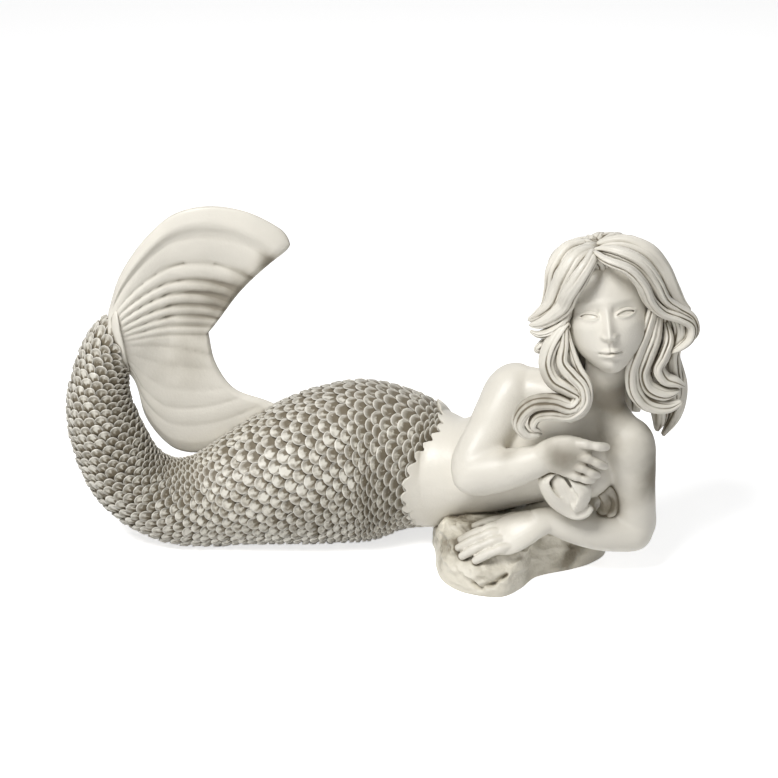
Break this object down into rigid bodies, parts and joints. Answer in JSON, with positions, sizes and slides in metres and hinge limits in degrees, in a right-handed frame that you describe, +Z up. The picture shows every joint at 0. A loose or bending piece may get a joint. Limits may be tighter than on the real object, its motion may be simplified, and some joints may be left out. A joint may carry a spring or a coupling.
{
  "type": "mermaid figurine",
  "caption": "Ivory cast resin figurine of a mermaid lying on a rock, a hand to the chest, with an overlapping scale tail that curls up into a ribbed fluke.",
  "frame": {"origin": "on the rock's flat underside, below the chest, at floor level", "axes": "+X from the tail towards the head, +Y away from the viewer, +Z up"},
  "size_m": [0.2898, 0.1093, 0.1663],
  "materials": {
    "ivory_resin": "satin cast resin with a brown wash in the creases"
  },
  "bodies": {
    "root": {"mermaid": "ivory_resin"}
  },
  "joints": []
}
